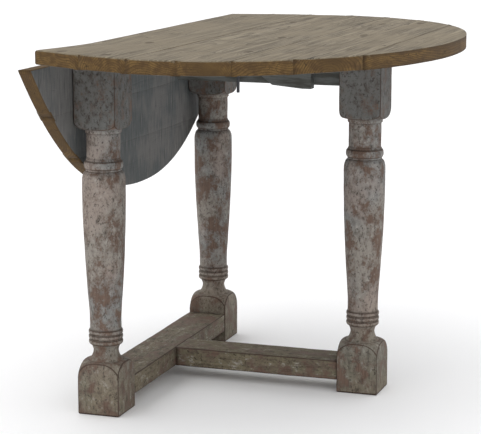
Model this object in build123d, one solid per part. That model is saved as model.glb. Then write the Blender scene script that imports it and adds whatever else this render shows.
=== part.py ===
from build123d import *
import os
from math import sqrt, sin, cos, radians

# Drop leaf table: three turned legs, a T stretcher, a fixed oval top of planks
# and one leaf that hangs on two butt hinges.  Millimetres, +Z up.
# X runs from the leaf to the round end, Y runs along the planks and the hinge line.

os.makedirs("parts", exist_ok=True)

# ---- driving sizes ----
table_height = 755.0
board_thick = 28.0
top_depth = 686.0            # hinge line to the far round edge
hinge_chord = 1117.6         # length of the straight hinge edge
top_width = 1190.0           # widest place of the oval
widest_at = 262.0            # distance of the widest place from the hinge line
leaf_depth = 297.0
leaf_gap = 1.0               # gap between the raised leaf and the fixed top
leaf_power = 2.29            # curve of the leaf edge
top_planks = 7
leaf_planks = 3
arris = 2.5                  # rounding of the outer rim

pin_drop = 6.0               # hinge pin below the underside of the top
pin_out = 4.0                # hinge pin outside the edge of the top

leg_square = 90.0
leg_proud = 8.5              # outer face of the left legs outside the hinge line
leg_row = 652.0              # left leg centre to left leg centre
right_leg_from_hinge = 492.5

stretcher_bottom = 26.0
stretcher_deep = 42.0
long_stretcher_wide = 88.0
cross_stretcher_wide = 86.0
tenon = 30.0

side_rail_deep, side_rail_thick = 32.0, 22.0
centre_rail_deep, centre_rail_thick = 73.0, 30.0

slide_thick = 24.0
slide_tip, slide_end = 56.0, 385.0      # distances from the hinge line
slide_travel_full = 160.0

hinge_rows = {"front": -225.0, "back": 225.0}
hinge_long, plate_thick, barrel_radius, pin_radius = 76.0, 2.0, 5.0, 2.0

loose = 0.2                  # clearance on tenon cheeks and in holes

# ---- places that follow ----
under_top = table_height - board_thick
leaf_out = pin_out + pin_drop + board_thick      # outer face of the hanging leaf
hinge_x = -(top_depth - leaf_out) / 2
left_leg_x = hinge_x - leg_proud + leg_square / 2
right_leg_x = hinge_x + right_leg_from_hinge
leg_y = leg_row / 2
pin_x, pin_z = hinge_x - pin_out, under_top - pin_drop
leaf_inner_x = pin_x - pin_drop
leaf_top_z = pin_z + pin_out - leaf_gap
round_end_x = hinge_x + top_depth


def block(x0, x1, y0, y1, z0, z1):
    """A box between two corners."""
    return Pos((x0 + x1) / 2, (y0 + y1) / 2, (z0 + z1) / 2) * Box(x1 - x0, y1 - y0, z1 - z0)


def rod(radius, start, end):
    """A round rod between two points on one axis."""
    a, b = Vector(*start), Vector(*end)
    return extrude(Plane(a, z_dir=b - a) * Circle(radius), (b - a).length)


def bar(x0, x1, y0, y1, z0, z1, size=2.0, along=Axis.Y):
    """A bar with its four long edges eased."""
    solid = block(x0, x1, y0, y1, z0, z1)
    return chamfer(solid.edges().filter_by(along), size)


def save(shape, name):
    """Writes one node, as a single solid where it is one."""
    solids = list(shape.solids())
    shape = solids[0] if len(solids) == 1 else Compound(children=solids)
    shape.label = name
    export_step(shape, f"parts/{name}.step")


def screw(radius, head_radius, head_high, start, end):
    """A round headed screw: the head sits outside the start point, the shank runs to the end."""
    a, b = Vector(*start), Vector(*end)
    way = (b - a).normalized()
    head = extrude(Plane(a, z_dir=-way) * Circle(head_radius), head_high)
    shank = rod(radius, start, end)
    slot_side = Plane(a - way * head_high, z_dir=way)
    slot = extrude(slot_side * Rectangle(head_radius * 2.2, 0.9), 0.8)
    return head + shank - slot


# ---- fixed top ----
half_wide = top_width / 2
near_axis = widest_at / sqrt(1 - (hinge_chord / top_width) ** 2)
middle_x = hinge_x + widest_at
right_of_widest = Pos(top_width, 0) * Rectangle(2 * top_width, 2 * top_width)
round_part = Ellipse(top_depth - widest_at, half_wide) & right_of_widest
near_part = Ellipse(near_axis, half_wide) & (Pos(-widest_at / 2, 0) * Rectangle(widest_at, 2 * top_width))
outline = (round_part + near_part).clean()
top_blank = extrude(Pos(middle_x, 0, under_top) * outline, board_thick)
rim_edges = [e for e in top_blank.edges() if e.geom_type == GeomType.ELLIPSE]
top_blank = fillet(rim_edges, arris)
top_blank = chamfer(
    [e for e in top_blank.edges() if abs(e.center().X - hinge_x) < 0.01 and e.length > hinge_chord * 0.9], 1.0
)


def top_half_width(distance):
    """Half the width of the fixed top at a distance from the hinge line."""
    away = distance - widest_at
    axis = top_depth - widest_at if away > 0 else near_axis
    return half_wide * sqrt(max(0.0, 1 - (away / axis) ** 2))


plank_wide = top_depth / top_planks
tongue_long, tongue_thick = 9.0, 8.0
mid_top_z = under_top + board_thick / 2
planks = []
for i in range(top_planks):
    x0, x1 = hinge_x + i * plank_wide, hinge_x + (i + 1) * plank_wide
    plank = top_blank & block(x0, x1, -top_width, top_width, under_top - 1, table_height + 1)
    if i < top_planks - 1:
        reach = min(top_half_width(x1 - hinge_x), top_half_width(x1 - hinge_x + tongue_long)) - 35
        half = tongue_thick / 2
        plank += block(x1 - 1, x1 + tongue_long, -reach, reach, mid_top_z - half, mid_top_z + half)
    if i > 0:
        reach = min(top_half_width(x0 - hinge_x), top_half_width(x0 - hinge_x + tongue_long)) - 35 + loose
        half = tongue_thick / 2 + loose
        plank -= block(x0 - 1, x0 + tongue_long + 0.5, -reach, reach, mid_top_z - half, mid_top_z + half)
    planks.append(plank)

# ---- hanging leaf ----
half_chord = hinge_chord / 2


def leaf_drop(y):
    """How far the leaf hangs below its top edge at a place along the hinge line."""
    return leaf_depth * (1 - (abs(y) / half_chord) ** leaf_power)


steps = 24
curve = [(half_chord * k / steps, -leaf_drop(half_chord * k / steps)) for k in range(-steps, steps + 1)]
leaf_plane = Plane((leaf_inner_x, 0, leaf_top_z), x_dir=(0, 1, 0), z_dir=(1, 0, 0))
leaf_edge = Spline(*curve) + Line(curve[-1], curve[0])
leaf_blank = extrude(leaf_plane * make_face(leaf_edge), -board_thick)
leaf_rim = [e for e in leaf_blank.edges() if e.geom_type == GeomType.BSPLINE]
leaf_blank = fillet(leaf_rim, arris)

leaf_wide = leaf_depth / leaf_planks
mid_leaf_x = leaf_inner_x - board_thick / 2
leaf_boards = []
for i in range(leaf_planks):
    z1, z0 = leaf_top_z - i * leaf_wide, leaf_top_z - (i + 1) * leaf_wide
    slab = block(leaf_inner_x - 60, leaf_inner_x + 60, -top_width, top_width, z0 - (i == 2), z1)
    board = leaf_blank & slab
    reach = half_chord * (1 - (i + 1) * leaf_wide / leaf_depth * 0.999) ** (1 / leaf_power) - 70
    if i < leaf_planks - 1:
        board += block(mid_leaf_x - 4, mid_leaf_x + 4, -reach, reach, z0 - tongue_long, z0 + 1)
    if i > 0:
        reach = half_chord * (1 - i * leaf_wide / leaf_depth * 0.999) ** (1 / leaf_power) - 70 + loose
        x0, x1, deep = mid_leaf_x - 4 - loose, mid_leaf_x + 4 + loose, tongue_long + 0.5
        board -= block(x0, x1, -reach, reach, z1 - deep, z1 + 1)
    leaf_boards.append(board)

# ---- turned leg ----
neck, bead, belly, ankle = 34.5, 40.0, 44.7, 25.9
corner = leg_square / 2 * sqrt(2) + 3
shoulder_radius, shoulder_high, top_shoulder = 41.0, 24.0, 587.0
foot_top, foot_radius, foot_fall = 110.0, 36.0, 25.0
ring_z, ring_high, ring_base, ring_peak = 143.5, 10.3, 32.4, 35.3


def shoulder(z, up):
    """Rounded shoulder where the upper square meets the turning."""
    wide = corner - shoulder_radius
    turns = [radians(15 * k) for k in range(7)]
    return [(shoulder_radius + wide * sin(a), z + up * shoulder_high * (1 - cos(a))) for a in turns]


def foot_dome():
    """Domed top of the foot square, from the ankle out to the corners."""
    radii = [foot_radius + (corner - foot_radius) * k / 7 for k in range(8)]
    return [(r, foot_top - foot_fall * ((r - foot_radius) / 27.6) ** 2.5) for r in radii]


def half_round(z0, z1, base, peak):
    """Points of a bead between two heights."""
    mid, half = (z0 + z1) / 2, (z1 - z0) / 2
    turns = [radians(a) for a in (-90, -55, -25, 0, 25, 55, 90)]
    return [(base + (peak - base) * cos(a), mid + half * sin(a)) for a in turns]


foot_curve = list(reversed(foot_dome()))
body_curve = [(32.3, 176), (32.6, 204), (36.3, 255), (39.7, 307), (42.0, 358), (43.8, 409), (44.5, 452)]
body_curve.append((belly, 477))
lower_cove = [(foot_radius, foot_top + 0.6), (29.6, 117.0), (ankle, 129.0), (28.9, 140.0), (32.4, ring_z)]
with BuildSketch(Plane.XZ) as leg_profile:
    with BuildLine():
        Polyline((0, 0), (corner, 0), foot_curve[0])
        Spline(*foot_curve)
        Polyline(foot_curve[-1], lower_cove[0])
        Spline(*lower_cove)
        z = ring_z
        for ring in range(3):
            Spline(*half_round(z, z + ring_high, ring_base, ring_peak))
            z += ring_high
        Polyline((ring_base, z), body_curve[0])
        Spline(*body_curve)
        Spline((belly, 477), (43.2, 490), (36.4, 501), tangents=((0, 1), (-1, 0.15)))
        Polyline((36.4, 501), (36.4, 505))
        Spline(*half_round(505, 522.4, 36.4, bead))
        Polyline((36.4, 522.4), (36.0, 525), (neck, 526), (neck, 578), (37.0, 580), (37.0, 585),
                 (shoulder_radius, top_shoulder))
        Spline(*shoulder(top_shoulder, 1))
        Polyline(shoulder(top_shoulder, 1)[-1], (corner, under_top), (0, under_top), (0, 0))
    make_face()
turning = revolve(leg_profile.sketch, Axis.Z)
leg_blank = Pos(0, 0, under_top / 2) * Box(leg_square, leg_square, under_top)
leg_blank = chamfer(leg_blank.edges(), 1.6)
leg_shape = leg_blank & turning

# the left legs are eased at the top so that the leaf clears them as it swings
ease = extrude(Plane.XZ * Polygon((-leg_square, under_top - 3), (-leg_square / 2, under_top - 3),
                                  (-leg_square / 2 + 5.5, under_top), (-leg_square, under_top + 9), align=None),
               leg_square, both=True)
left_leg = leg_shape - ease

legs = {
    "leg_left_front": Pos(left_leg_x, -leg_y, 0) * left_leg,
    "leg_left_back": Pos(left_leg_x, leg_y, 0) * left_leg,
    "leg_right": Pos(right_leg_x, 0, 0) * leg_shape,
}

# ---- T stretcher ----
inner_y = leg_y - leg_square / 2
inner_left_x = left_leg_x + leg_square / 2
inner_right_x = right_leg_x - leg_square / 2
low_z0, low_z1 = stretcher_bottom, stretcher_bottom + stretcher_deep
long_half = long_stretcher_wide / 2
cross_half = cross_stretcher_wide / 2
long_face_x = left_leg_x + long_half
ten_z0, ten_z1 = low_z0 + 9, low_z1 - 9


def mortise(x0, x1, y0, y1, z0, z1, deeper):
    """The pocket for a tenon: cheek clearance all round and a little extra depth along one axis."""
    gx, gy = (1.0, loose) if deeper == "x" else (loose, 1.0)
    return block(x0 - gx, x1 + gx, y0 - gy, y1 + gy, z0 - loose, z1 + loose)


long_stretcher = bar(left_leg_x - long_half, long_face_x, -inner_y, inner_y, low_z0, low_z1)
for side in (-1, 1):
    ends = sorted((side * inner_y, side * (inner_y + tenon)))
    tongue = (left_leg_x - 26, left_leg_x + 26, ends[0], ends[1], ten_z0, ten_z1)
    long_stretcher += block(*tongue)
    name = "leg_left_front" if side < 0 else "leg_left_back"
    legs[name] -= mortise(*tongue, "y")

cross_stretcher = bar(long_face_x, inner_right_x, -cross_half, cross_half, low_z0, low_z1, along=Axis.X)
near_tongue = (long_face_x - tenon, long_face_x, -26, 26, ten_z0, ten_z1)
far_tongue = (inner_right_x, inner_right_x + tenon, -26, 26, ten_z0, ten_z1)
cross_stretcher += block(*near_tongue) + block(*far_tongue)
long_stretcher -= mortise(*near_tongue, "x")
legs["leg_right"] -= mortise(*far_tongue, "x")

# ---- rails under the top ----
side_x0, side_x1 = left_leg_x - side_rail_thick / 2, left_leg_x + side_rail_thick / 2
side_z0 = under_top - side_rail_deep
side_rail = block(side_x0, side_x1, -inner_y, inner_y, side_z0, under_top)
for side in (-1, 1):
    ends = sorted((side * inner_y, side * (inner_y + 24)))
    tongue = (left_leg_x - 6, left_leg_x + 6, ends[0], ends[1], side_z0 + 5, under_top - 9)
    side_rail += block(*tongue)
    name = "leg_left_front" if side < 0 else "leg_left_back"
    legs[name] -= mortise(*tongue, "y")

rail_z0 = under_top - centre_rail_deep
rail_half = centre_rail_thick / 2
centre_rail = block(side_x1, inner_right_x, -rail_half, rail_half, rail_z0, under_top)
snipe = extrude(Plane.XZ * Polygon((side_x1 - 1, rail_z0 - 1), (side_x1 + 34, rail_z0 - 1), (side_x1 - 1, side_z0 - 2),
                                   align=None), rail_half + 5, both=True)
centre_rail -= snipe
rail_tongue = (inner_right_x, inner_right_x + tenon, -6, 6, rail_z0 + 10, under_top - 12)
side_tongue = (side_x1 - 10, side_x1, -6, 6, side_z0 + 5, under_top - 7)
centre_rail += block(*rail_tongue) + block(*side_tongue)
legs["leg_right"] -= mortise(*rail_tongue, "x")
side_rail -= mortise(*side_tongue, "x")

# ---- sliding support for the leaf, with its runner and peg ----
slide_y1 = -rail_half - 0.5
slide_y0 = slide_y1 - slide_thick
slide_top = under_top - 0.6
tip_x, end_x = hinge_x + slide_tip, hinge_x + slide_end
tip_bottom = slide_top - 23
grip_bottom = under_top - 79.5
slide_side = Polygon(
    (tip_x, slide_top), (tip_x, tip_bottom + 6), (tip_x + 6, tip_bottom),
    (hinge_x + 235, tip_bottom), (hinge_x + 300, rail_z0 - 0.5), (end_x - 18, grip_bottom),
    (end_x, grip_bottom), (end_x, slide_top), align=None,
)
slide = Pos(0, slide_y1, 0) * extrude(Plane.XZ * slide_side, slide_thick)
groove_z = slide_top - 11.5
slide -= block(tip_x - 1, end_x + 1, slide_y1 - 8.5, slide_y1 + 1, groove_z - 5.4, groove_z + 5.4)
runner = block(side_x1 + 40, end_x - 15, -rail_half - 8, -rail_half, groove_z - 5, groove_z + 5)
side_rail -= block(side_x0 - 1, side_x1 + 1, slide_y0 - 1, slide_y1 + 1, tip_bottom - 0.6, under_top + 1)

peg_x, peg_y = hinge_x + 222, slide_y0 + 8
peg_top = tip_bottom + 12
peg = rod(3.25, (peg_x, peg_y, rail_z0 - 20.5), (peg_x, peg_y, peg_top))
peg = chamfer(peg.edges().group_by(Axis.Z)[0], 0.6)
slide -= rod(3.25 + 0.1, (peg_x, peg_y, tip_bottom - 5), (peg_x, peg_y, peg_top))

# ---- pegs that lock the tenons, put in from the outer faces ----
peg_r = 4.5
lock_pegs = []
for side in (-1, 1):
    y = side * (inner_y + 15)
    x0 = left_leg_x - leg_square / 2
    z = (ten_z0 + ten_z1) / 2
    hole = (x0 + 68, y, z)
    name = "leg_left_front" if side < 0 else "leg_left_back"
    lock_pegs.append(rod(peg_r, (x0 + 0.5, y, z), hole))
    drill = rod(peg_r + 0.15, (x0 - 1, y, z), hole)
    legs[name] -= drill
    long_stretcher -= drill
for z, deep in (((ten_z0 + ten_z1) / 2, 72), (under_top - 38, 60)):
    x = inner_right_x + 15
    y0 = leg_square / 2
    hole = (x, y0 - deep, z)
    lock_pegs.append(rod(peg_r, (x, y0 - 0.5, z), hole))
    drill = rod(peg_r + 0.15, (x, y0 + 1, z), hole)
    legs["leg_right"] -= drill
    cross_stretcher -= drill
    centre_rail -= drill

# ---- screws from the centre rail up into the planks ----
rail_screws = []
for k in range(4):
    x = side_x1 + 75 + plank_wide * k
    pocket = rail_z0 + 32
    rail_screws.append(screw(2.5, 5.0, 2.5, (x, 0, pocket), (x, 0, under_top + 18)))
    centre_rail -= rod(6.0, (x, 0, rail_z0 - 1), (x, 0, pocket))
    centre_rail -= rod(2.7, (x, 0, pocket - 1), (x, 0, under_top + 1))
    for i, plank in enumerate(planks):
        if hinge_x + i * plank_wide < x + 3 and x - 3 < hinge_x + (i + 1) * plank_wide:
            planks[i] = plank - rod(2.6, (x, 0, under_top - 1), (x, 0, under_top + 18.2))

# ---- hinges ----
knuckles = 5
knuckle_long = hinge_long / knuckles
plate_reach = 20.0
cut = barrel_radius + 0.4
root_screws, leaf_screws = [], []
hinge_parts = {}
for where, y_mid in hinge_rows.items():
    y0 = y_mid - hinge_long / 2
    pin_axis = lambda a, b, r: rod(r, (pin_x, a, pin_z), (pin_x, b, pin_z))
    fixed = block(pin_x + cut, pin_x + pin_out + plate_reach, y0, y0 + hinge_long, under_top - plate_thick, under_top)
    hung = block(leaf_inner_x, leaf_inner_x + plate_thick, y0, y0 + hinge_long, pin_z - plate_reach, pin_z - cut)
    for k in range(knuckles):
        a, b = y0 + k * knuckle_long + 0.2, y0 + (k + 1) * knuckle_long - 0.2
        barrel = pin_axis(a, b, barrel_radius)
        if k % 2 == 0:
            fixed += barrel + block(pin_x, pin_x + cut + 1, a, b, under_top - plate_thick, under_top - 0.4)
        else:
            hung += barrel + block(leaf_inner_x + 0.4, leaf_inner_x + plate_thick, a, b, pin_z - cut - 1, pin_z)
    bore = pin_axis(y0 - 1, y0 + hinge_long + 1, pin_radius + 0.05)
    fixed, hung = fixed - bore, hung - bore
    for k in range(3):
        y = y0 + hinge_long * (k + 0.5) / 3
        inset = 12 + 4.5 * (k % 2)
        foot = (pin_x + inset, y, under_top - plate_thick)
        root_screws.append(screw(1.8, 3.4, 1.4, foot, (foot[0], y, under_top + 16)))
        fixed -= rod(2.0, (foot[0], y, foot[2] - 1), (foot[0], y, under_top + 1))
        planks[0] -= rod(1.9, (foot[0], y, under_top - 1), (foot[0], y, under_top + 16.2))
        face = (leaf_inner_x + plate_thick, y, pin_z - inset)
        leaf_screws.append(screw(1.8, 3.4, 1.4, face, (leaf_inner_x - 16, y, face[2])))
        hung -= rod(2.0, (face[0] + 1, y, face[2]), (leaf_inner_x - 1, y, face[2]))
        leaf_boards[0] -= rod(1.9, (leaf_inner_x + 1, y, face[2]), (leaf_inner_x - 16.2, y, face[2]))
    pin = pin_axis(y0 - 0.6, y0 + hinge_long + 0.6, pin_radius)
    for y_end, way in ((y0, -1), (y0 + hinge_long, 1)):
        pin += rod(3.2, (pin_x, y_end - way * 0.2, pin_z), (pin_x, y_end + way * 1.4, pin_z))
    hinge_parts[f"hinge_{where}_fixed_plate"] = fixed
    hinge_parts[f"hinge_{where}_leaf_plate"] = hung
    hinge_parts[f"hinge_{where}_pin"] = pin

# ---- write the nodes ----
for i, plank in enumerate(planks):
    save(plank, f"top_plank_{i + 1}")
for i, board in enumerate(leaf_boards):
    save(board, f"leaf_plank_{i + 1}")
for name, leg in legs.items():
    save(leg, name)
for name, shape in hinge_parts.items():
    save(shape, name)
save(long_stretcher, "stretcher_long")
save(cross_stretcher, "stretcher_cross")
save(side_rail, "rail_side")
save(centre_rail, "rail_centre")
save(slide, "leaf_slide")
save(peg, "slide_peg")
save(runner, "slide_runner")
save(Compound(children=lock_pegs), "tenon_pegs")
save(Compound(children=rail_screws), "top_screws")
save(Compound(children=root_screws), "hinge_top_screws")
save(Compound(children=leaf_screws), "hinge_leaf_screws")
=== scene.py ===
# %% [markdown]
# A drop leaf table of old pine: an oval top of seven boards, one leaf that hangs on two hinges,
# three turned legs and a T stretcher.  The plain model of the table, with its joints, is loaded first
# and stays where it is.  Every wooden piece that shows is then modelled again with worn edges and
# given a finish, and it rides on the same body as the plain part that it stands for.

# %% Load the frame
import math

import bmesh
import bpy
from mathutils import Matrix, Vector, noise


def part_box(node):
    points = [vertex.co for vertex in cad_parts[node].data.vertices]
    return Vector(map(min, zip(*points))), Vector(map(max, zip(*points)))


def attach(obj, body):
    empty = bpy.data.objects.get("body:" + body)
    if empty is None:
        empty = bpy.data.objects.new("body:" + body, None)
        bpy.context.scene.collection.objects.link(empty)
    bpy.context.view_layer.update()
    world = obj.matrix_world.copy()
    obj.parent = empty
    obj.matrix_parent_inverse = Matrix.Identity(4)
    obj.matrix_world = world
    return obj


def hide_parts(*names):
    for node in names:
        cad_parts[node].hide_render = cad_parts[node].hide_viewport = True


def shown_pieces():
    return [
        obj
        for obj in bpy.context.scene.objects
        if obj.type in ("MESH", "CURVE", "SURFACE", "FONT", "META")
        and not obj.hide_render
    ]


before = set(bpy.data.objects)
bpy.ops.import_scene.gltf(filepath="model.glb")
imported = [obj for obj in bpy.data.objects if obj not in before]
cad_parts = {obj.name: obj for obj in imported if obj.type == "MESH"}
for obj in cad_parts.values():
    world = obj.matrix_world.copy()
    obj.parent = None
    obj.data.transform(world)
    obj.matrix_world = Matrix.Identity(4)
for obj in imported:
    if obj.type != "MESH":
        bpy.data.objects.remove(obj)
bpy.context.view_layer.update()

# %% [markdown]
# Real boards are never quite flat or straight.  A smooth noise, read at each corner of the mesh, gives
# the small waves that a plane and a century of use leave behind.  The same noise is used for every
# piece, so that the whole table looks as though one person made it.

# %% Small waves in worked wood
MM = 0.001


def wave(place, size, seed=0.0):
    """A smooth value between about -1 and 1 that changes over the given size."""
    return noise.noise(place / size + Vector((seed, seed * 1.7, -seed)))


print("wave at the origin:", round(wave(Vector((0.1, 0.2, 0.3)), 0.05), 3))

# %% [markdown]
# Paint goes first from the sharp outer edges, and dirt stays in the grooves.  Both places can be found
# from the shape: where the mesh bends outwards the neighbours of a corner lie below its surface, and
# in a groove they lie above it.  The amount of bend is kept on the mesh as a colour, red for an edge
# and green for a groove, and the finishes read it later.

# %% Mark the edges and grooves
def mark_edges(bm, layer, edge_bend=0.12, groove_bend=0.09):
    """Stores how sharply each corner bends out (red) or in (green), as one over the radius in millimetres."""
    bm.normal_update()
    bends = {}
    for v in bm.verts:
        total = 0.0
        for e in v.link_edges:
            step = e.other_vert(v).co - v.co
            total += -2 * v.normal.dot(step) / max(step.length_squared, 1e-9)
        bends[v] = total / max(len(v.link_edges), 1) * MM
    for v in bm.verts:
        near = [bends[e.other_vert(v)] for e in v.link_edges] + [bends[v]] * 2
        bend = sum(near) / len(near)
        colour = v[layer]
        colour[0] = min(1.0, max(0.0, (bend - edge_bend * 0.4) / edge_bend))
        colour[1] = min(1.0, max(0.0, (-bend - groove_bend * 0.4) / groove_bend))


def new_piece(name, bm, body, stands_for):
    """Turns the finished bmesh into an object that rides on a body and stands for some plain parts."""
    mesh = bpy.data.meshes.new(name)
    bm.to_mesh(mesh)
    bm.free()
    mesh.shade_smooth()
    piece = bpy.data.objects.new(name, mesh)
    bpy.context.scene.collection.objects.link(piece)
    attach(piece, body)
    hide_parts(*stands_for)
    print(name, "faces:", len(mesh.polygons))


def start_bmesh():
    """A new bmesh with the two colour layers that the finishes read."""
    bm = bmesh.new()
    return bm, bm.verts.layers.float_color.new("bend"), bm.verts.layers.float_color.new("side")


# %% [markdown]
# Each board of the top was sawn from a different tree.  A board is a slice of the tree's rings, so its
# grain is set by where the heart of the tree was.  That point is stored on every corner of the mesh,
# in an attribute called heart, and the wood pattern is drawn round it: straight lines on the face,
# arcs on the ends.

# %% Where the heart of each tree was
def store_heart(bm, heart, seed):
    """Keeps the heart of the tree (x, z) and a number that is different for each board."""
    layer = bm.verts.layers.float_vector.new("heart")
    for v in bm.verts:
        v[layer] = Vector((heart[0], seed, heart[1]))


# %% [markdown]
# The fixed top is an oval with one straight side.  Its outline is two half ovals that meet at the
# widest place.  A grid is laid over a board and the ends of its rows are pulled in to the outline, so
# the rows of faces follow the curve.  Pulling the flat grid down gives the thickness, and the
# bevel operator rounds the rim.

# %% The outline of the fixed top
board_names = [f"top_plank_{i + 1}" for i in range(7)]
hinge_x, top_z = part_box("top_plank_1")[0].x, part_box("top_plank_1")[1].z
round_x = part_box("top_plank_7")[1].x
thick = top_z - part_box("top_plank_1")[0].z
half_wide = max(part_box(n)[1].y for n in board_names)
half_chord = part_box("leaf_plank_1")[1].y
widest_x = hinge_x + 262 * MM
near_reach = (widest_x - hinge_x) / math.sqrt(1 - (half_chord / half_wide) ** 2)
print("top from", round(hinge_x, 3), "to", round(round_x, 3), "half width", round(half_wide, 3))


def half_width(x):
    """Half the width of the top at x."""
    away = x - widest_x
    reach = round_x - widest_x if away > 0 else near_reach
    return half_wide * math.sqrt(max(0.0, 1 - (away / reach) ** 2))


# %% Find the edges of a board
SHARP = 0.9      # an edge with its faces turned further apart than this, in radians, is a corner
NOWHERE = 9.0    # a place that no wall of the table is near, in metres


def is_joint(face, joint_places):
    """True for the long wall of a board that faces its neighbour, at one of the x or z places."""
    centre = face.calc_center_median()
    return any(abs(centre.x - x) < 0.5 * MM or abs(centre.z - z) < 0.5 * MM for x, z in joint_places)


def sort_edges(bm, way, joint_places):
    """The sharp edges round the faces of a board: those of the rim, and those of the joints."""
    rims, joints = [], []
    for e in bm.edges:
        step = e.verts[0].co - e.verts[1].co
        if len(e.link_faces) != 2 or e.calc_face_angle() < SHARP or abs(step.normalized().dot(way)) > 0.5:
            continue
        walls = [f for f in e.link_faces if abs(f.normal.dot(way)) < 0.5]
        long_wall = walls and abs(walls[0].normal.y) < 0.02 and step.length > 2 * MM
        (joints if long_wall and is_joint(walls[0], joint_places) else rims).append(e)
    return rims, joints


# %% Shape one board
def shape_board(columns, rows, spot, inward, rim_round, joint_round, joint_places):
    """A board whose show face is spot(u, v); inward is the way through its thickness."""
    bm, bend, side = start_bmesh()
    bmesh.ops.create_grid(bm, x_segments=columns, y_segments=rows, size=1.0)
    for v in bm.verts:
        v.co = spot((v.co.x + 1) / 2, v.co.y)
    too_close = 0.05 * MM
    bmesh.ops.remove_doubles(bm, verts=bm.verts, dist=too_close)
    bmesh.ops.dissolve_degenerate(bm, edges=bm.edges, dist=too_close)
    raised = bmesh.ops.extrude_face_region(bm, geom=bm.faces[:])
    new_verts = [g for g in raised["geom"] if isinstance(g, bmesh.types.BMVert)]
    bmesh.ops.translate(bm, verts=new_verts, vec=inward)
    bmesh.ops.recalc_face_normals(bm, faces=bm.faces)
    bm.normal_update()
    way = inward.normalized()
    rims, joints = sort_edges(bm, way, joint_places)
    settings = dict(affect="EDGES", segments=3, profile=0.5, material=-1, offset_type="OFFSET",
                    clamp_overlap=True)
    bmesh.ops.bevel(bm, geom=joints, offset=joint_round, **settings)
    # the rim of the show face and the rim of the underside have worn by different amounts
    middle = spot(0.5, 0.0)
    rims = [e for e in rims if e.is_valid]
    shown = [e for e in rims if (e.verts[0].co - middle).dot(way) < inward.length / 2]
    hidden = [e for e in rims if e not in shown]
    for group, size in ((shown, rim_round), (hidden, 3 * MM)):
        bmesh.ops.bevel(bm, geom=[e for e in group if e.is_valid], offset=size, **settings)
    # cuts through the thickness give the rim corners that the waves can move
    for part in (0.3, 0.5, 0.7):
        bmesh.ops.bisect_plane(bm, geom=bm.verts[:] + bm.edges[:] + bm.faces[:],
                               plane_co=middle + inward * part, plane_no=way)
    return bm, bend, side, way


def mark_sides(bm, side, way):
    """Red where the show face is, green on the underside, neither on the rim."""
    bm.normal_update()
    for v in bm.verts:
        out = -v.normal.dot(way)
        v[side] = (min(1, max(0, out * 2.2 - 0.9)), min(1, max(0, -out * 2.2 - 0.9)), 0, 1)


# %% [markdown]
# The front corner by the hinge has curled up: the board ends are free beyond the leg, and the sun dried
# their upper side.  The curl is a smooth rise that starts at the leg and fades into the next boards.

# %% Boards of the fixed top
board_wide = (round_x - hinge_x) / 7
top_joints = [(hinge_x + i * board_wide, NOWHERE) for i in range(1, 7)]
# where each tree's heart was, in metres from the board's left top edge, and how far the board has risen
hearts = [(0.03, -0.09), (0.07, -0.035), (0.045, -0.16), (0.02, -0.05), (0.06, -0.12), (0.05, -0.028),
          (0.03, -0.10)]
lifts = [0.0, 0.25 * MM, -0.15 * MM, 0.2 * MM, 0.0, 0.3 * MM, -0.1 * MM]
curl_rise, curl_start, curl_wide = 8.5 * MM, 300 * MM, 260 * MM


def curl(x, y):
    """Height of the curled corner, in metres."""
    along = min(1.0, max(0.0, (-y - curl_start) / (half_chord - curl_start)))
    across = min(1.0, max(0.0, 1 - (x - hinge_x) / curl_wide))
    return curl_rise * along ** 1.3 * across ** 1.6


for i, name in enumerate(board_names):
    x0 = hinge_x + i * board_wide
    last = i == 6

    def spot(u, v):
        share = math.sin(u * math.pi / 2) if last else u
        x = x0 + board_wide * share
        return Vector((x, v * half_width(x), top_z))

    bm, bend, side, way = shape_board(
        16 if last else 9, 110, spot, Vector((0, 0, -thick)), 5 * MM, 0.4 * MM, top_joints)
    mark_sides(bm, side, way)
    mark_edges(bm, bend)
    for v in bm.verts:
        x, y = v.co.x, v.co.y
        up = 0.35 * MM * wave(Vector((x * 2.5, y * 0.6, 0)), 0.09, i * 3.1)
        rim = 1 - min(1, abs(half_width(x) - abs(y)) / (12 * MM))
        v.co.z += up + lifts[i] + curl(x, y) - 0.5 * MM * rim * max(0, wave(v.co, 0.03, 5))
        v.co.y += 0.7 * MM * rim * wave(v.co, 0.04, 8)
    store_heart(bm, (x0 + hearts[i][0], top_z + hearts[i][1]), i * 1.37)
    new_piece(f"board_{i + 1}", bm, "table", [name])

# %% [markdown]
# The leaf is the rest of the oval, in three boards.  It hangs, so its show face looks away from the
# legs and its painted underside faces them.  The same board shaper is used with the width running
# downwards, and the ends of the rows follow the leaf's own curve.

# %% Boards of the hanging leaf
leaf_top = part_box("leaf_plank_1")[1].z
leaf_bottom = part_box("leaf_plank_3")[0].z
leaf_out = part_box("leaf_plank_1")[0].x
leaf_deep = leaf_top - leaf_bottom
leaf_wide = leaf_deep / 3
leaf_joints = [(NOWHERE, leaf_top - i * leaf_wide) for i in (1, 2)]
leaf_hearts = [(0.09, 0.05), (-0.04, 0.03), (0.12, 0.055)]


def leaf_half(drop, fullness=2.29):
    """Half the length of the leaf at a drop below its top edge; a fullness of 2 is a parabola."""
    return half_chord * max(0.0, 1 - drop / leaf_deep) ** (1 / fullness)


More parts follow.
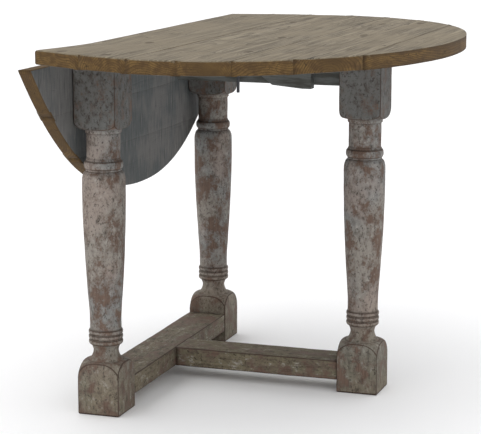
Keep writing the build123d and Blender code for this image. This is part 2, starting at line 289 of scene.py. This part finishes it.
for i in range(3):
    z1 = leaf_top - i * leaf_wide
    last = i == 2

    def spot(u, v):
        share = 1 - (1 - u) ** 2.2 if last else u
        drop = i * leaf_wide + leaf_wide * share
        return Vector((leaf_out, v * leaf_half(drop), leaf_top - drop))

    bm, bend, side, way = shape_board(
        16 if last else 9, 100, spot, Vector((thick, 0, 0)), 2.5 * MM, 0.25 * MM, leaf_joints)
    mark_sides(bm, side, way)
    mark_edges(bm, bend)
    for v in bm.verts:
        v.co.x += 0.3 * MM * wave(Vector((0, v.co.y * 0.6, v.co.z * 2.5)), 0.09, 20)
    store_heart(bm, (leaf_out + leaf_hearts[i][0], z1 - leaf_hearts[i][1]), 11 + i * 1.37)
    new_piece(f"leaf_board_{i + 1}", bm, "leaf", [f"leaf_plank_{i + 1}"])

# %% [markdown]
# A leg starts as a square post and only its middle goes on the lathe.  The lathe cuts a rounded
# shoulder where the square ends, and that shoulder leaves an arch on each flat face.  Here the whole
# length is spun round first, fatter than the square, and then its four sides are pressed flat.  Where
# the turning is thinner than the square the press touches nothing, so the arches come by themselves.

# %% Curves for the turned profile
leg_half = 45 * MM
corner = leg_half / MM * math.sqrt(2) + 3    # just past the square's corner, in millimetres


def between(a, b, c, d, t):
    """A value on the smooth curve from b to c, a share t of the way; a and d are the next ones out."""
    square, cube = 2 * a - 5 * b + 4 * c - d, 3 * b - a - 3 * c + d
    return 0.5 * (2 * b + (c - a) * t + square * t * t + cube * t ** 3)


def curve(points, steps):
    """A smooth line through the points, as radius and height pairs."""
    out = []
    for k in range(len(points) - 1):
        near = points[max(k - 1, 0)], points[k], points[k + 1], points[min(k + 2, len(points) - 1)]
        out += [tuple(between(*four, s / steps) for four in zip(*near)) for s in range(steps)]
    return out + [points[-1]]


def bead(z0, z1, base, peak, steps=10):
    """A half round ring."""
    mid, half = (z0 + z1) / 2, (z1 - z0) / 2
    angles = [math.pi * (s / steps - 0.5) for s in range(steps + 1)]
    return [(base + (peak - base) * math.cos(a), mid + half * math.sin(a)) for a in angles]


def shoulder(z, start=41, rise=24, steps=28):
    """The rounded shoulder, from the turning out to the full square."""
    angles = [math.pi / 2 * s / steps for s in range(steps + 1)]
    return [(start + (corner - start) * math.sin(a), z + rise * (1 - math.cos(a))) for a in angles]


def foot_dome(top=110, flat=36, fall=25, reach=27.6, steps=26):
    """The domed top of the foot, from the corners in to the ankle; it falls by fall over the reach."""
    radii = [corner - (corner - flat) * k / steps for k in range(steps + 1)]
    return [(r, top - fall * ((r - flat) / reach) ** 2.5) for r in radii]


def straight(r, z0, z1, step=6.0):
    """A straight length, cut into short steps."""
    count = max(1, round(abs(z1 - z0) / step))
    return [(r, z0 + (z1 - z0) * s / count) for s in range(count + 1)]


# %% The turned profile, from the floor up, as radius and height in millimetres
leg_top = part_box("leg_right")[1].z
leg_high = leg_top / MM
worn_steps = (0, 0.6, 1.4, 2.4)    # close rows near each end, for the rounded rim of the square
profile = [(0, 0), (corner * 0.6, 0)] + [(corner, z) for z in (*worn_steps, 3.6)]
profile += straight(corner, 4, 76) + foot_dome()
# the ankle
profile += curve([(35.6, 110.6), (29.6, 117), (25.9, 129), (28.8, 139.6), (32.5, 143.2)], 8)
# three rings
for ring in range(3):
    profile += bead(143.6 + 10.3 * ring, 153.6 + 10.3 * ring, 32.5, 35.3)
# the long body, fullest at 476 mm
profile += curve([(32.4, 176), (32.6, 204), (36.2, 255), (39.6, 307), (41.9, 358), (43.7, 409), (44.4, 450),
                  (44.6, 476), (43.8, 488), (40.8, 497), (36.4, 501.5)], 7)
# the collar
profile += straight(36.4, 502, 505, 1) + bead(505.4, 522.4, 36.4, 40.0, 14)
# the neck
profile += [(36.2, 522.8), (36.0, 525), (35.0, 526)] + straight(34.5, 527, 577, 5)
profile += [(34.8, 578), (37.0, 579.5), (37.0, 585), (39, 586.4)]
# the shoulder and the square block
profile += shoulder(587) + straight(corner, 614, leg_high - 3.6)
profile += [(corner, leg_high - d) for d in reversed(worn_steps)] + [(corner * 0.6, leg_high), (0, leg_high)]
# points that nearly meet are dropped
leg_profile = [profile[0]]
for r, z in profile[1:]:
    if abs(r - leg_profile[-1][0]) + abs(z - leg_profile[-1][1]) > 0.15:
        leg_profile.append((r, z))
print("leg profile points:", len(leg_profile))


# %% Spin the leg and press its flats
END_ROUND = 3.6 * MM                     # the worn rim of each square end
EASE_DEEP, EASE_WIDE = 3 * MM, 5.5 * MM  # the slope cut on a block's top, clear of the leaf


def press(value, half, soft=1.7 * MM):
    """Limits a distance to half with a rounded corner, the way a worn edge is."""
    size = abs(value)
    over = (size - half) / soft
    eased = half - soft * math.log1p(math.exp(-over)) if over > -12 else size
    return math.copysign(min(eased, half), value)


def end_inset(z):
    """How far the worn rim of the square has drawn in, near the floor and near the top."""
    share = min(1, min(z, leg_top - z) / END_ROUND)
    return END_ROUND * (1 - math.sqrt(max(0, 1 - (1 - share) ** 2)))


def arch_line(co):
    """Nearly 1 where the lathe's cut runs out into a flat face: a line of worn paint 3 mm wide."""
    beside = (max(abs(co.x), abs(co.y)) - leg_half) / (1.6 * MM)
    on_lathe = 77 * MM < co.z < 130 * MM or 580 * MM < co.z < 612 * MM
    return math.exp(-beside * beside) if on_lathe and co.xy.length > leg_half else 0.0


def turn_leg(name, part, seed, eased):
    """Spins one leg, presses its flats, wears it, and eases its top by the hinge edge."""
    lo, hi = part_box(part)
    centre = Vector(((lo.x + hi.x) / 2, (lo.y + hi.y) / 2, 0))
    bm, bend, side = start_bmesh()
    verts = [bm.verts.new((r * MM, 0, z * MM)) for r, z in leg_profile]
    edges = [bm.edges.new(pair) for pair in zip(verts, verts[1:])]
    bmesh.ops.spin(bm, geom=verts + edges, axis=(0, 0, 1), cent=(0, 0, 0), steps=160, angle=math.tau,
                   use_merge=True)
    bmesh.ops.remove_doubles(bm, verts=bm.verts, dist=0.01 * MM)
    bmesh.ops.recalc_face_normals(bm, faces=bm.faces)
    arch = {v: arch_line(v.co) for v in bm.verts}
    for v in bm.verts:
        half = leg_half - end_inset(v.co.z)
        if v.co.xy.length > leg_half * 0.92:
            v.co.x, v.co.y = press(v.co.x, half), press(v.co.y, half)
    mark_edges(bm, bend)
    for v in bm.verts:
        v[bend][0] = max(v[bend][0], arch[v])
        dull = 0.35 * MM * wave(v.co, 0.025, seed) + 0.5 * MM * wave(v.co, 0.11, seed + 4)
        if 1 * MM < v.co.z < leg_top - 1 * MM:
            v.co += v.normal * min(0.0, dull - 0.25 * MM)
        from_edge = v.co.x + leg_half
        if eased and v.co.z > leg_top - EASE_DEEP and from_edge < EASE_WIDE:
            v.co.z = min(v.co.z, leg_top - EASE_DEEP * min(1, (EASE_WIDE - from_edge) / EASE_WIDE))
        v.co += centre
        v[side] = (0, 0, 0, 1)
    new_piece(name, bm, "table", [part])


turn_leg("turned_leg_front", "leg_left_front", 1.3, True)
turn_leg("turned_leg_back", "leg_left_back", 7.9, True)
turn_leg("turned_leg_right", "leg_right", 14.2, False)

# %% [markdown]
# The stretcher keeps the legs from spreading.  People rest their feet on it, so its edges are rubbed
# round.  A cube is stretched to the bar's box, its long edges are bevelled, and cuts across it every
# 12 mm or less give it the corners that the same small waves can move.

# %% Bars of the stretcher
def shape_bar(name, part, along, lo, hi, seed, round_by=2.4 * MM, step=12 * MM):
    """One bar of the stretcher from its box; along is the axis of its length, 0 for X and 1 for Y."""
    bm, bend, side = start_bmesh()
    bmesh.ops.create_cube(bm, size=1.0)
    size, centre = hi - lo, (hi + lo) / 2
    bmesh.ops.transform(bm, matrix=Matrix.Translation(centre) @ Matrix.Diagonal((*size, 1)), verts=bm.verts)
    long_edges = [e for e in bm.edges if abs((e.verts[0].co - e.verts[1].co).normalized()[along]) > 0.9]
    bmesh.ops.bevel(bm, geom=long_edges, offset=round_by, offset_type="OFFSET", affect="EDGES",
                    segments=4, profile=0.5, material=-1, clamp_overlap=True)
    for axis in range(3):
        normal = Vector([1.0 if k == axis else 0.0 for k in range(3)])
        count = math.ceil(size[axis] / step)
        for k in range(1, count):
            cut = lo + normal * size[axis] * k / count
            if axis != along and min(cut[axis] - lo[axis], hi[axis] - cut[axis]) < round_by * 1.5:
                continue
            bmesh.ops.bisect_plane(bm, geom=bm.verts[:] + bm.edges[:] + bm.faces[:],
                                   plane_co=cut, plane_no=normal)
    mark_edges(bm, bend)
    for v in bm.verts:
        dull = 0.4 * MM * wave(v.co, 0.03, seed) + 0.6 * MM * wave(v.co, 0.12, seed + 3)
        v.co += v.normal * min(0.0, dull - 0.3 * MM)
        v[side] = (0, 0, 0, 1)
    new_piece(name, bm, "table", [part])


long_lo, long_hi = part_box("stretcher_long")
cross_lo, cross_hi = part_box("stretcher_cross")
front_leg, right_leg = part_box("leg_left_front"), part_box("leg_right")
long_lo.y, long_hi.y = front_leg[1].y, -front_leg[1].y
cross_lo.x, cross_hi.x = long_hi.x, right_leg[0].x
shape_bar("stretcher_between_left_legs", "stretcher_long", 1, long_lo, long_hi, 2.0)
shape_bar("stretcher_to_right_leg", "stretcher_cross", 0, cross_lo, cross_hi, 5.0)

# %% [markdown]
# Colours are chosen as sRGB hex values, the way a paint chip is read, and Blender's shaders work in
# linear light, so one function turns one into the other.  A second one adds a node.  What feeds a
# socket can be a plain value, a socket, or a whole node, which then gives its first open output.

# %% Two helpers for the finishes
def linear(chip):
    """The linear colour of an sRGB hex value."""
    parts = [int(chip[i:i + 2], 16) / 255 for i in (1, 3, 5)]
    return tuple(p / 12.92 if p <= 0.04045 else ((p + 0.055) / 1.055) ** 2.4 for p in parts) + (1.0,)


def add(tree, kind, feeds=None, **settings):
    """Adds a node with its settings, and gives each named socket a value or a link."""
    node = tree.nodes.new("ShaderNode" + kind)
    for key, value in settings.items():
        setattr(node, key, value)
    for key, feed in (feeds or {}).items():
        if isinstance(feed, bpy.types.Node):
            feed = next(socket for socket in feed.outputs if socket.enabled)
        if isinstance(feed, bpy.types.NodeSocket):
            tree.links.new(feed, node.inputs[key])
        else:
            node.inputs[key].default_value = feed
    return node


def new_finish(name):
    """An empty material, and its node tree."""
    finish = bpy.data.materials.new(name)
    finish.use_nodes = True
    finish.node_tree.nodes.clear()
    return finish, finish.node_tree


# a map range of this kind has no sharp start or end
SOFT = "SMOOTHSTEP"
print("mid grey is", round(linear("#808080")[0], 3), "in linear light")

# %% [markdown]
# Aged pine boards.  The show face has weathered to a dry grey brown, the sawn rim has kept a warm
# brown, and the underside was painted blue grey.  Growth rings are drawn in three dimensions round
# the heart of each tree, so a line on the face runs on as an arc on the rim.  The rings of this slow
# grown pine are 4 to 5 mm apart, and the pores and fine cracks follow the length of the board.
# Dry wood is matt, so the roughness is high and the reflection is low.

# %% Aged pine boards: the pattern of the wood
RING = 4.4 * MM


def wood_pattern(tree):
    """Rings, streaks, pores, clouds, cracks and knots, all in the board's own coordinates."""
    place = add(tree, "TexCoord").outputs["Object"]
    heart = add(tree, "Attribute", attribute_name="heart").outputs["Vector"]
    own = add(tree, "VectorMath", {0: place, 1: heart}, operation="SUBTRACT")
    # long slow bends of the trunk push the rings sideways
    slow = add(tree, "Mapping", {0: own, "Scale": (7, 1.3, 7)})
    drift = add(tree, "TexNoise", {0: slow, "Scale": 1.0, "Detail": 3.0}).outputs["Color"]
    centred = add(tree, "VectorMath", {0: drift, 1: (0.5, 0.5, 0.5)}, operation="SUBTRACT")
    pushed = add(tree, "VectorMath", {0: centred, 1: (0.07, 0.0, 0.055)}, operation="MULTIPLY")
    # a knot is where a branch left the trunk, and the rings bend round it
    knot_place = add(tree, "Mapping", {0: own, "Scale": (1 / (190 * MM), 1 / (420 * MM), 0.0)})
    cell = add(tree, "TexVoronoi", {0: knot_place, "Scale": 1.0}, voronoi_dimensions="2D")
    away = cell.outputs["Distance"]
    knot = add(tree, "MapRange", {0: away, 1: 0.03, 2: 0.055, 3: 1.0, 4: 0.0}, interpolation_type=SOFT)
    swirl = add(tree, "MapRange", {0: away, 1: 0.0, 2: 0.2, 3: 0.012, 4: 0.0}, interpolation_type=SOFT)
    bent = add(tree, "VectorMath", {0: own, 1: pushed})
    bent = add(tree, "VectorMath", {0: bent, 1: swirl})
    # a ring wave turns once in a twentieth of tau, so this scale gives one turn for each ring
    rings = add(tree, "TexWave", {0: bent, "Scale": math.tau / 20 / RING, "Distortion": 1.0, "Detail": 3.0,
                                  "Detail Scale": 1.2, "Detail Roughness": 0.6},
                wave_type="RINGS", rings_direction="Y", wave_profile="SAW").outputs["Fac"]
    made = {"rings": rings, "knot": knot}
    # each is a noise with its width and length on the board in millimetres, and its detail
    for name, across, along, detail in (
            ("pores", 1.7, 110, 4), ("streak", 12, 700, 4), ("split", 24, 420, 1), ("line", 5, 520, 3)):
        scale = (1 / (across * MM), 1 / (along * MM), 1 / (across * MM))
        spread = add(tree, "Mapping", {0: own, "Scale": scale})
        cloud = add(tree, "TexNoise", {0: spread, "Scale": 1.0, "Detail": detail, "Roughness": 0.6})
        made[name] = cloud.outputs["Fac"]
    made["cloud"] = add(tree, "TexNoise", {0: own, "Scale": 1 / (150 * MM), "Detail": 4.0}).outputs["Fac"]
    # a drying crack is a thin line where a long noise crosses its middle value
    off = add(tree, "Math", {0: made["split"], 1: 0.5}, operation="SUBTRACT")
    near = add(tree, "Math", {0: off}, operation="ABSOLUTE")
    line = add(tree, "MapRange", {0: near, 1: 0.003, 2: 0.013, 3: 1.0, 4: 0.0})
    some = add(tree, "MapRange", {0: made["streak"], 1: 0.52, 2: 0.60})
    made["crack"] = add(tree, "Math", {0: line, 1: some}, operation="MULTIPLY")
    return made


# %% Lay coats of colour
def lay(tree, under, coats):
    """Lays coats over a colour; each has a hex colour, what drives it, its low and high, its strength."""
    for chip, driver, low, high, strength in coats:
        share = add(tree, "MapRange", {0: driver, 1: low, 2: high, 3: 0.0, 4: strength},
                    interpolation_type=SOFT)
        over = linear(chip) if isinstance(chip, str) else chip
        under = add(tree, "Mix", {0: share, 6: under, 7: over}, data_type="RGBA")
    return under


# %% Aged pine boards: the colours
def board_colour(tree, wood):
    """The face, the rim and the painted underside, each in its own place on the board."""
    sides = add(tree, "SeparateColor", {0: add(tree, "Attribute", attribute_name="side").outputs["Color"]})
    bends = add(tree, "SeparateColor", {0: add(tree, "Attribute", attribute_name="bend").outputs["Color"]})
    show, under = sides.outputs[0], sides.outputs[1]
    edge, groove = bends.outputs[0], bends.outputs[1]
    face = lay(tree, linear("#6f6553"), [
        ("#8c8270", wood["streak"], 0.34, 0.66, 1.0), ("#554b3b", wood["rings"], 0.3, 1.0, 0.60),
        ("#a0967f", wood["line"], 0.52, 0.70, 0.60), ("#443c2f", wood["line"], 0.44, 0.34, 0.55),
        ("#3f372b", wood["pores"], 0.50, 0.68, 0.95), ("#7f7460", wood["cloud"], 0.42, 0.62, 0.55),
        ("#463a2a", wood["knot"], 0.2, 0.9, 0.8), ("#2e281e", wood["crack"], 0.0, 1.0, 0.95)])
    # the paint runs over the joints, with its brush strokes across the boards
    place = add(tree, "TexCoord").outputs["Object"]
    strokes = add(tree, "Mapping", {0: place, "Scale": (1 / (55 * MM), 1 / (5 * MM), 1 / (55 * MM))})
    brush = add(tree, "TexNoise", {0: strokes, "Scale": 1.0, "Detail": 5.0, "Roughness": 0.65}).outputs["Fac"]
    fade = add(tree, "TexNoise", {0: place, "Scale": 1 / (130 * MM), "Detail": 3.0}).outputs["Fac"]
    rim = lay(tree, linear("#543f25"), [
        ("#6e5632", wood["streak"], 0.35, 0.65, 1.0), ("#35270f", wood["rings"], 0.45, 1.0, 0.60),
        ("#372818", wood["pores"], 0.52, 0.70, 0.60), ("#4a3820", fade, 0.42, 0.58, 0.7),
        ("#2a2015", wood["crack"], 0.0, 1.0, 0.8)])
    paint = lay(tree, linear("#595d5d"), [
        ("#6d6c6a", fade, 0.40, 0.60, 1.0), ("#424342", brush, 0.50, 0.72, 0.85),
        ("#85807d", brush, 0.46, 0.32, 0.6), ("#4b4036", brush, 0.66, 0.76, 0.7)])
    # the rim's joints hold dirt, and the edges of the rim are drawn darker
    unpainted = add(tree, "Math", {0: 1.0, 1: under}, operation="SUBTRACT")
    dirt = add(tree, "Math", {0: groove, 1: unpainted}, operation="MULTIPLY")
    on_rim = add(tree, "Math", {0: unpainted, 1: show}, operation="SUBTRACT")
    lower_edge = add(tree, "Math", {0: edge, 1: on_rim}, operation="MULTIPLY")
    return lay(tree, rim, [(face, show, 0.15, 0.75, 1.0), (paint, under, 0.80, 1.0, 1.0),
                           ("#33291d", dirt, 0.1, 0.9, 0.45), ("#3d3022", lower_edge, 0.2, 0.8, 0.5)])


def make_board_finish():
    """Aged pine: the colours above, with raised rings, open pores and cracks."""
    finish, tree = new_finish("aged_pine_boards")
    wood = wood_pattern(tree)
    dull = add(tree, "MapRange", {0: wood["streak"], 3: 0.66, 4: 0.86})
    ridge = add(tree, "Math", {0: wood["rings"], 1: 0.4, 2: wood["pores"]}, operation="MULTIPLY_ADD")
    ridge = add(tree, "Math", {0: ridge, 1: wood["crack"]}, operation="SUBTRACT")
    skin = add(tree, "Bump", {"Strength": 0.6, "Distance": 0.5 * MM, "Height": ridge})
    shader = add(tree, "BsdfPrincipled", {"Base Color": board_colour(tree, wood), "Roughness": dull,
                                          "Normal": skin, "Specular IOR Level": 0.25})
    add(tree, "OutputMaterial", {"Surface": shader})
    return finish


board_finish = make_board_finish()
print(board_finish.name, "nodes:", len(board_finish.node_tree.nodes))

# %% [markdown]
# Worn painted pine.  The legs and the stretcher wear an old milk paint, a chalky grey white.  It has
# been rubbed through in ragged patches to red brown wood, most of all on the sharp edges, and dark wax
# has settled in the grooves.  The patches are about 30 mm across with crumbly edges, and the paint near
# the floor has gone a greenish brown.  Grain, brush marks and patches are stretched along the timber.

# %% Worn painted pine: its noises
def paint_clouds(tree, place, along):
    """Noises with a size across the grain in millimetres, a stretch along it, a detail and a roughness."""
    clouds = {}
    for key, size, stretch, detail, rough in (
            ("patch", 27, 1.35, 9, 0.72), ("region", 90, 1.5, 2, 0.5), ("crumb", 3.4, 1.2, 3, 0.6),
            ("grain", 2.2, 30, 3, 0.6), ("tone", 150, 1.2, 2, 0.5), ("fibre", 4, 28, 4, 0.6),
            ("dapple", 12, 1.6, 6, 0.74), ("speck", 6, 1.3, 5, 0.75)):
        scale = [1 / (size * MM)] * 3
        scale[along] /= stretch
        spread = add(tree, "Mapping", {0: place, "Scale": scale})
        cloud = add(tree, "TexNoise", {0: spread, "Scale": 1.0, "Detail": detail, "Roughness": rough})
        clouds[key] = cloud.outputs["Fac"]
    return clouds


# %% Worn painted pine: the finish
def make_paint_finish(name, along, low_brown, high_brown, threshold, pale, fibres):
    """Paint over wood: grain axis, stain low and high, where it wears through, pale spots, fibre lines."""
    finish, tree = new_finish(name)
    place = add(tree, "TexCoord").outputs["Object"]
    height = add(tree, "SeparateXYZ", {0: place}).outputs[2]
    bends = add(tree, "SeparateColor", {0: add(tree, "Attribute", attribute_name="bend").outputs["Color"]})
    edge, groove = bends.outputs[0], bends.outputs[1]
    cloud = paint_clouds(tree, place, along)
    stain = add(tree, "MapRange", {0: height, 1: 0.03, 2: 0.24, 3: low_brown, 4: high_brown},
                interpolation_type=SOFT)
    # the square blocks under the top kept the blue grey of the rails
    blue = add(tree, "MapRange", {0: height, 1: 580 * MM, 2: 592 * MM, 3: 0.0, 4: 0.78})
    wear = cloud["patch"]
    for part, share in ((cloud["region"], 0.34), (cloud["crumb"], 0.16), (edge, 0.12), (blue, -0.025)):
        wear = add(tree, "Math", {0: part, 1: share, 2: wear}, operation="MULTIPLY_ADD")
    mottle = cloud["dapple"]
    for part, share in ((blue, 0.05), (stain, 0.045)):
        mottle = add(tree, "Math", {0: part, 1: share, 2: mottle}, operation="MULTIPLY_ADD")
    wood = lay(tree, linear("#5e4c41"), [
        ("#745f52", cloud["grain"], 0.30, 0.70, 0.8), ("#41342d", cloud["dapple"], 0.50, 0.70, 0.7)])
    paint = lay(tree, linear("#8e8880"), [
        ("#818382", cloud["tone"], 0.42, 0.60, 0.8), ("#95877e", cloud["region"], 0.55, 0.40, 0.7),
        ("#6e664f", stain, 0.0, 1.0, 1.0), ("#a8a49d", cloud["dapple"], 0.46, 0.32, pale),
        ("#646563", blue, 0.0, 1.0, 1.0), ("#463e37", mottle, 0.50, 0.70, 0.75),
        ("#4c4438", cloud["fibre"], 0.52, 0.66, fibres), ("#342c27", cloud["speck"], 0.54, 0.62, 0.75)])
    bare = add(tree, "MapRange", {0: wear, 1: threshold, 2: threshold + 0.05}, interpolation_type=SOFT)
    rubbed = add(tree, "Math", {0: cloud["dapple"], 1: 0.5, 2: edge}, operation="MULTIPLY_ADD")
    colour = lay(tree, paint, [
        ("#66574e", wear, threshold - 0.09, threshold + 0.03, 0.65), (wood, bare, 0.0, 1.0, 0.92),
        ("#3f322a", rubbed, 0.55, 1.0, 0.85), ("#3a3029", groove, 0.15, 0.9, 0.6)])
    dull = add(tree, "MapRange", {0: bare, 3: 0.78, 4: 0.64})
    skin = add(tree, "Math", {0: cloud["crumb"], 1: -0.45, 2: bare}, operation="MULTIPLY_ADD")
    skin = add(tree, "Math", {0: cloud["dapple"], 1: -0.6, 2: skin}, operation="MULTIPLY_ADD")
    skin = add(tree, "Bump", {"Strength": 0.6, "Distance": 0.5 * MM, "Height": skin}, invert=True)
    shader = add(tree, "BsdfPrincipled", {"Base Color": colour, "Roughness": dull, "Normal": skin,
                                          "Specular IOR Level": 0.25})
    add(tree, "OutputMaterial", {"Surface": shader})
    return finish


leg_paint = make_paint_finish("worn_painted_pine_upright", 2, 0.62, 0.06, 0.795, 0.55, 0.15)
long_paint = make_paint_finish("worn_painted_pine_long", 1, 0.70, 0.70, 0.80, 0.7, 0.6)
cross_paint = make_paint_finish("worn_painted_pine_cross", 0, 0.78, 0.78, 0.80, 0.7, 0.65)
for finish in (leg_paint, long_paint, cross_paint):
    print(finish.name, "nodes:", len(finish.node_tree.nodes))

# %% [markdown]
# The rails and the sliding support sit in the shade and were painted blue grey in one coat.  The
# runner and the pegs are bare hardwood, the hinges are iron under the same paint, and the screws are
# dull steel.  None of these is large, so a few nodes each are enough.

# %% Small finishes
def make_small_finish(name, main, dark, size, squeeze, rough, metallic=0.0, depth=0.2 * MM):
    """Two tones mixed by a noise of a real size, squeezed along X, Y and Z, with a matching bump."""
    finish, tree = new_finish(name)
    place = add(tree, "TexCoord").outputs["Object"]
    spread = add(tree, "Mapping", {0: place, "Scale": [s / size for s in squeeze]})
    grain = add(tree, "TexNoise", {0: spread, "Scale": 1.0, "Detail": 5.0, "Roughness": 0.6}).outputs["Fac"]
    colour = lay(tree, linear(main), [(dark, grain, 0.4, 0.68, 1.0)])
    dull = add(tree, "MapRange", {0: grain, 3: rough - 0.1, 4: rough + 0.12})
    skin = add(tree, "Bump", {"Strength": 0.4, "Distance": depth, "Height": grain})
    shine = 0.5 if metallic else 0.3
    shader = add(tree, "BsdfPrincipled", {"Base Color": colour, "Roughness": dull, "Normal": skin,
                                          "Metallic": metallic, "Specular IOR Level": shine})
    add(tree, "OutputMaterial", {"Surface": shader})
    return finish


rail_paint = make_small_finish("blue_grey_rail_paint", "#656764", "#494843", 9 * MM, (0.15, 1, 1), 0.7)
hardwood = make_small_finish("oiled_beech", "#7a5f45", "#4f3b2a", 3 * MM, (0.1, 0.3, 1), 0.6)
dark_peg = make_small_finish("dark_stained_beech", "#55565a", "#3a3a3c", 3 * MM, (1, 1, 0.1), 0.6)
hinge_paint = make_small_finish("painted_wrought_iron", "#5e6162", "#3b3936", 7 * MM, (1, 1, 1), 0.6)
screw_steel = make_small_finish("dull_mild_steel", "#7d7a76", "#54463b", 2 * MM, (1, 1, 1), 0.5,
                                metallic=1.0, depth=0.05 * MM)
print("small finishes:", rail_paint.name, hardwood.name, dark_peg.name, hinge_paint.name, screw_steel.name)

# %% Give every piece its finish
# the first start that fits a name gives its finish, and what is left over is a screw
finishes = {
    "board_": board_finish, "leaf_board_": board_finish, "turned_leg_": leg_paint,
    "stretcher_between": long_paint, "stretcher_to": cross_paint,
    "rail_": rail_paint, "leaf_slide": rail_paint,
    "slide_runner": hardwood, "tenon_pegs": hardwood, "slide_peg": dark_peg,
    "hinge_front_pin": screw_steel, "hinge_back_pin": screw_steel,
    "hinge_front_": hinge_paint, "hinge_back_": hinge_paint,
}
things = [(p.name, p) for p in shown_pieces()] + list(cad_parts.items())
for name, thing in things:
    finish = next((f for start, f in finishes.items() if name.startswith(start)), screw_steel)
    thing.data.materials.clear()
    thing.data.materials.append(finish)

# %% [markdown]
# The room is a plain white floor that runs off to the horizon.  The light is a soft sky that is
# brightest overhead, so the top shades the upper parts of the legs, with one broad lamp high on the
# left to give the turnings their shape.

# %% Floor
floor_mesh = bpy.data.meshes.new("floor")
floor_bm = bmesh.new()
bmesh.ops.create_grid(floor_bm, x_segments=1, y_segments=1, size=60.0)
floor_bm.to_mesh(floor_mesh)
floor_bm.free()
floor = bpy.data.objects.new("floor", floor_mesh)
bpy.context.scene.collection.objects.link(floor)
floor_finish, floor_tree = new_finish("matt_white_floor")
floor_shader = add(floor_tree, "BsdfPrincipled", {"Base Color": linear("#fcfcfc"), "Roughness": 0.9})
add(floor_tree, "OutputMaterial", {"Surface": floor_shader})
floor_mesh.materials.append(floor_finish)
print("floor:", floor_finish.name)

# %% Sky and lamp
sky = bpy.data.worlds.new("soft_sky")
bpy.context.scene.world = sky
sky.use_nodes = True
sky.node_tree.nodes.clear()
up = add(sky.node_tree, "SeparateXYZ", {0: add(sky.node_tree, "TexCoord").outputs["Generated"]}).outputs[2]
glow = add(sky.node_tree, "MapRange", {0: up, 1: 0.0, 2: 1.0, 3: 0.35, 4: 1.62})
# a low white wall all round, so the floor has no visible end
wall = add(sky.node_tree, "MapRange", {0: up, 1: 0.09, 2: 0.15, 3: 1.02, 4: 0.0})
glow = add(sky.node_tree, "Math", {0: glow, 1: wall}, operation="MAXIMUM")
back = add(sky.node_tree, "Background", {"Color": linear("#fefeff"), "Strength": glow})
add(sky.node_tree, "OutputWorld", {"Surface": back})

lamp_data = bpy.data.lights.new("broad_lamp", "AREA")
lamp_data.size, lamp_data.energy = 1.8, 6
lamp = bpy.data.objects.new("broad_lamp", lamp_data)
lamp.location = (-1.3, -2.8, 2.2)
lamp.rotation_euler = (Vector((0, 0, 0.35)) - lamp.location).to_track_quat("-Z", "Y").to_euler()
bpy.context.scene.collection.objects.link(lamp)
print("lamp:", lamp_data.energy, "W")

# %% [markdown]
# The camera stands about 4 m away, 0.3 m above the top, with a long lens that keeps the legs nearly
# parallel.

# %% Camera
turn, tilt = math.radians(18.924), math.radians(10.508)
forward = Vector((-math.sin(turn) * math.cos(tilt), math.cos(turn) * math.cos(tilt), -math.sin(tilt)))
camera_data = bpy.data.cameras.new("camera")
camera_data.sensor_width, camera_data.lens = 36.0, 135.93
camera_data.clip_start, camera_data.clip_end = 0.1, 200
camera = bpy.data.objects.new("camera", camera_data)
camera.location = (hinge_x + 1.470768, -3.658639, 1.076491)
camera.rotation_euler = forward.to_track_quat("-Z", "Y").to_euler()
bpy.context.scene.collection.objects.link(camera)
bpy.context.scene.camera = camera
bpy.context.scene.view_settings.view_transform = "Standard"
print("camera to the middle of the floor:", round(camera.location.length, 2), "m")
